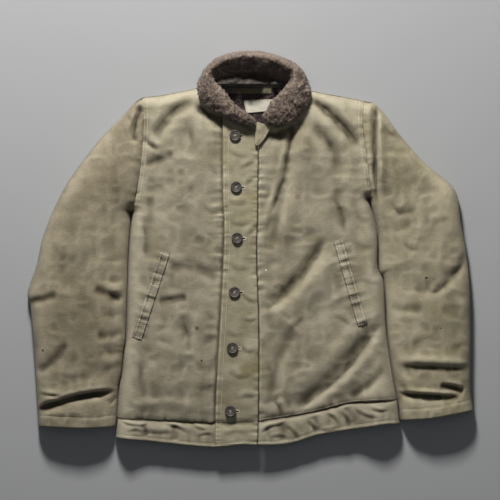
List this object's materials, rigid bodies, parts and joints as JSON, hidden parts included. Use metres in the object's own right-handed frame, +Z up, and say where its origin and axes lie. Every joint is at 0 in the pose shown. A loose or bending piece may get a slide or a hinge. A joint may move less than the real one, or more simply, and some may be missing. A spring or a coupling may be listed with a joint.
{
  "type": "deck jacket",
  "caption": "Deck jacket laid flat on its back, of heavy cotton with a rolled pile collar, buttoned fly front, throat tab, slanted welt pockets and hem bands.",
  "frame": {"origin": "on the surface that the jacket lies on, under the middle of the back panel", "axes": "+X across the jacket towards the wearer's left sleeve, +Y from the hem to the collar, +Z up from the surface to the fronts"},
  "size_m": [0.8699, 0.7714, 0.0622],
  "materials": {
    "cloth": "matte corded cotton",
    "pile": "matte short pile",
    "lining": "matte pile lining",
    "label": "matte woven",
    "button": "satin"
  },
  "bodies": {
    "root": {"back": "cloth", "button_1": "button", "button_2": "button", "button_3": "button", "button_4": "button", "button_5": "button", "button_6": "button", "collar": "pile", "front_left": "cloth", "front_right": "cloth", "hem_band_back": "cloth", "hem_band_left": "cloth", "hem_band_right": "cloth", "neck_label": "label", "neck_lining": "lining", "neck_tape": "cloth", "placket": "cloth", "pocket_welt_left": "cloth", "pocket_welt_right": "cloth", "sleeve_top_left": "cloth", "sleeve_top_right": "cloth", "sleeve_under_left": "cloth", "sleeve_under_right": "cloth", "throat_tab": "cloth"}
  },
  "joints": []
}
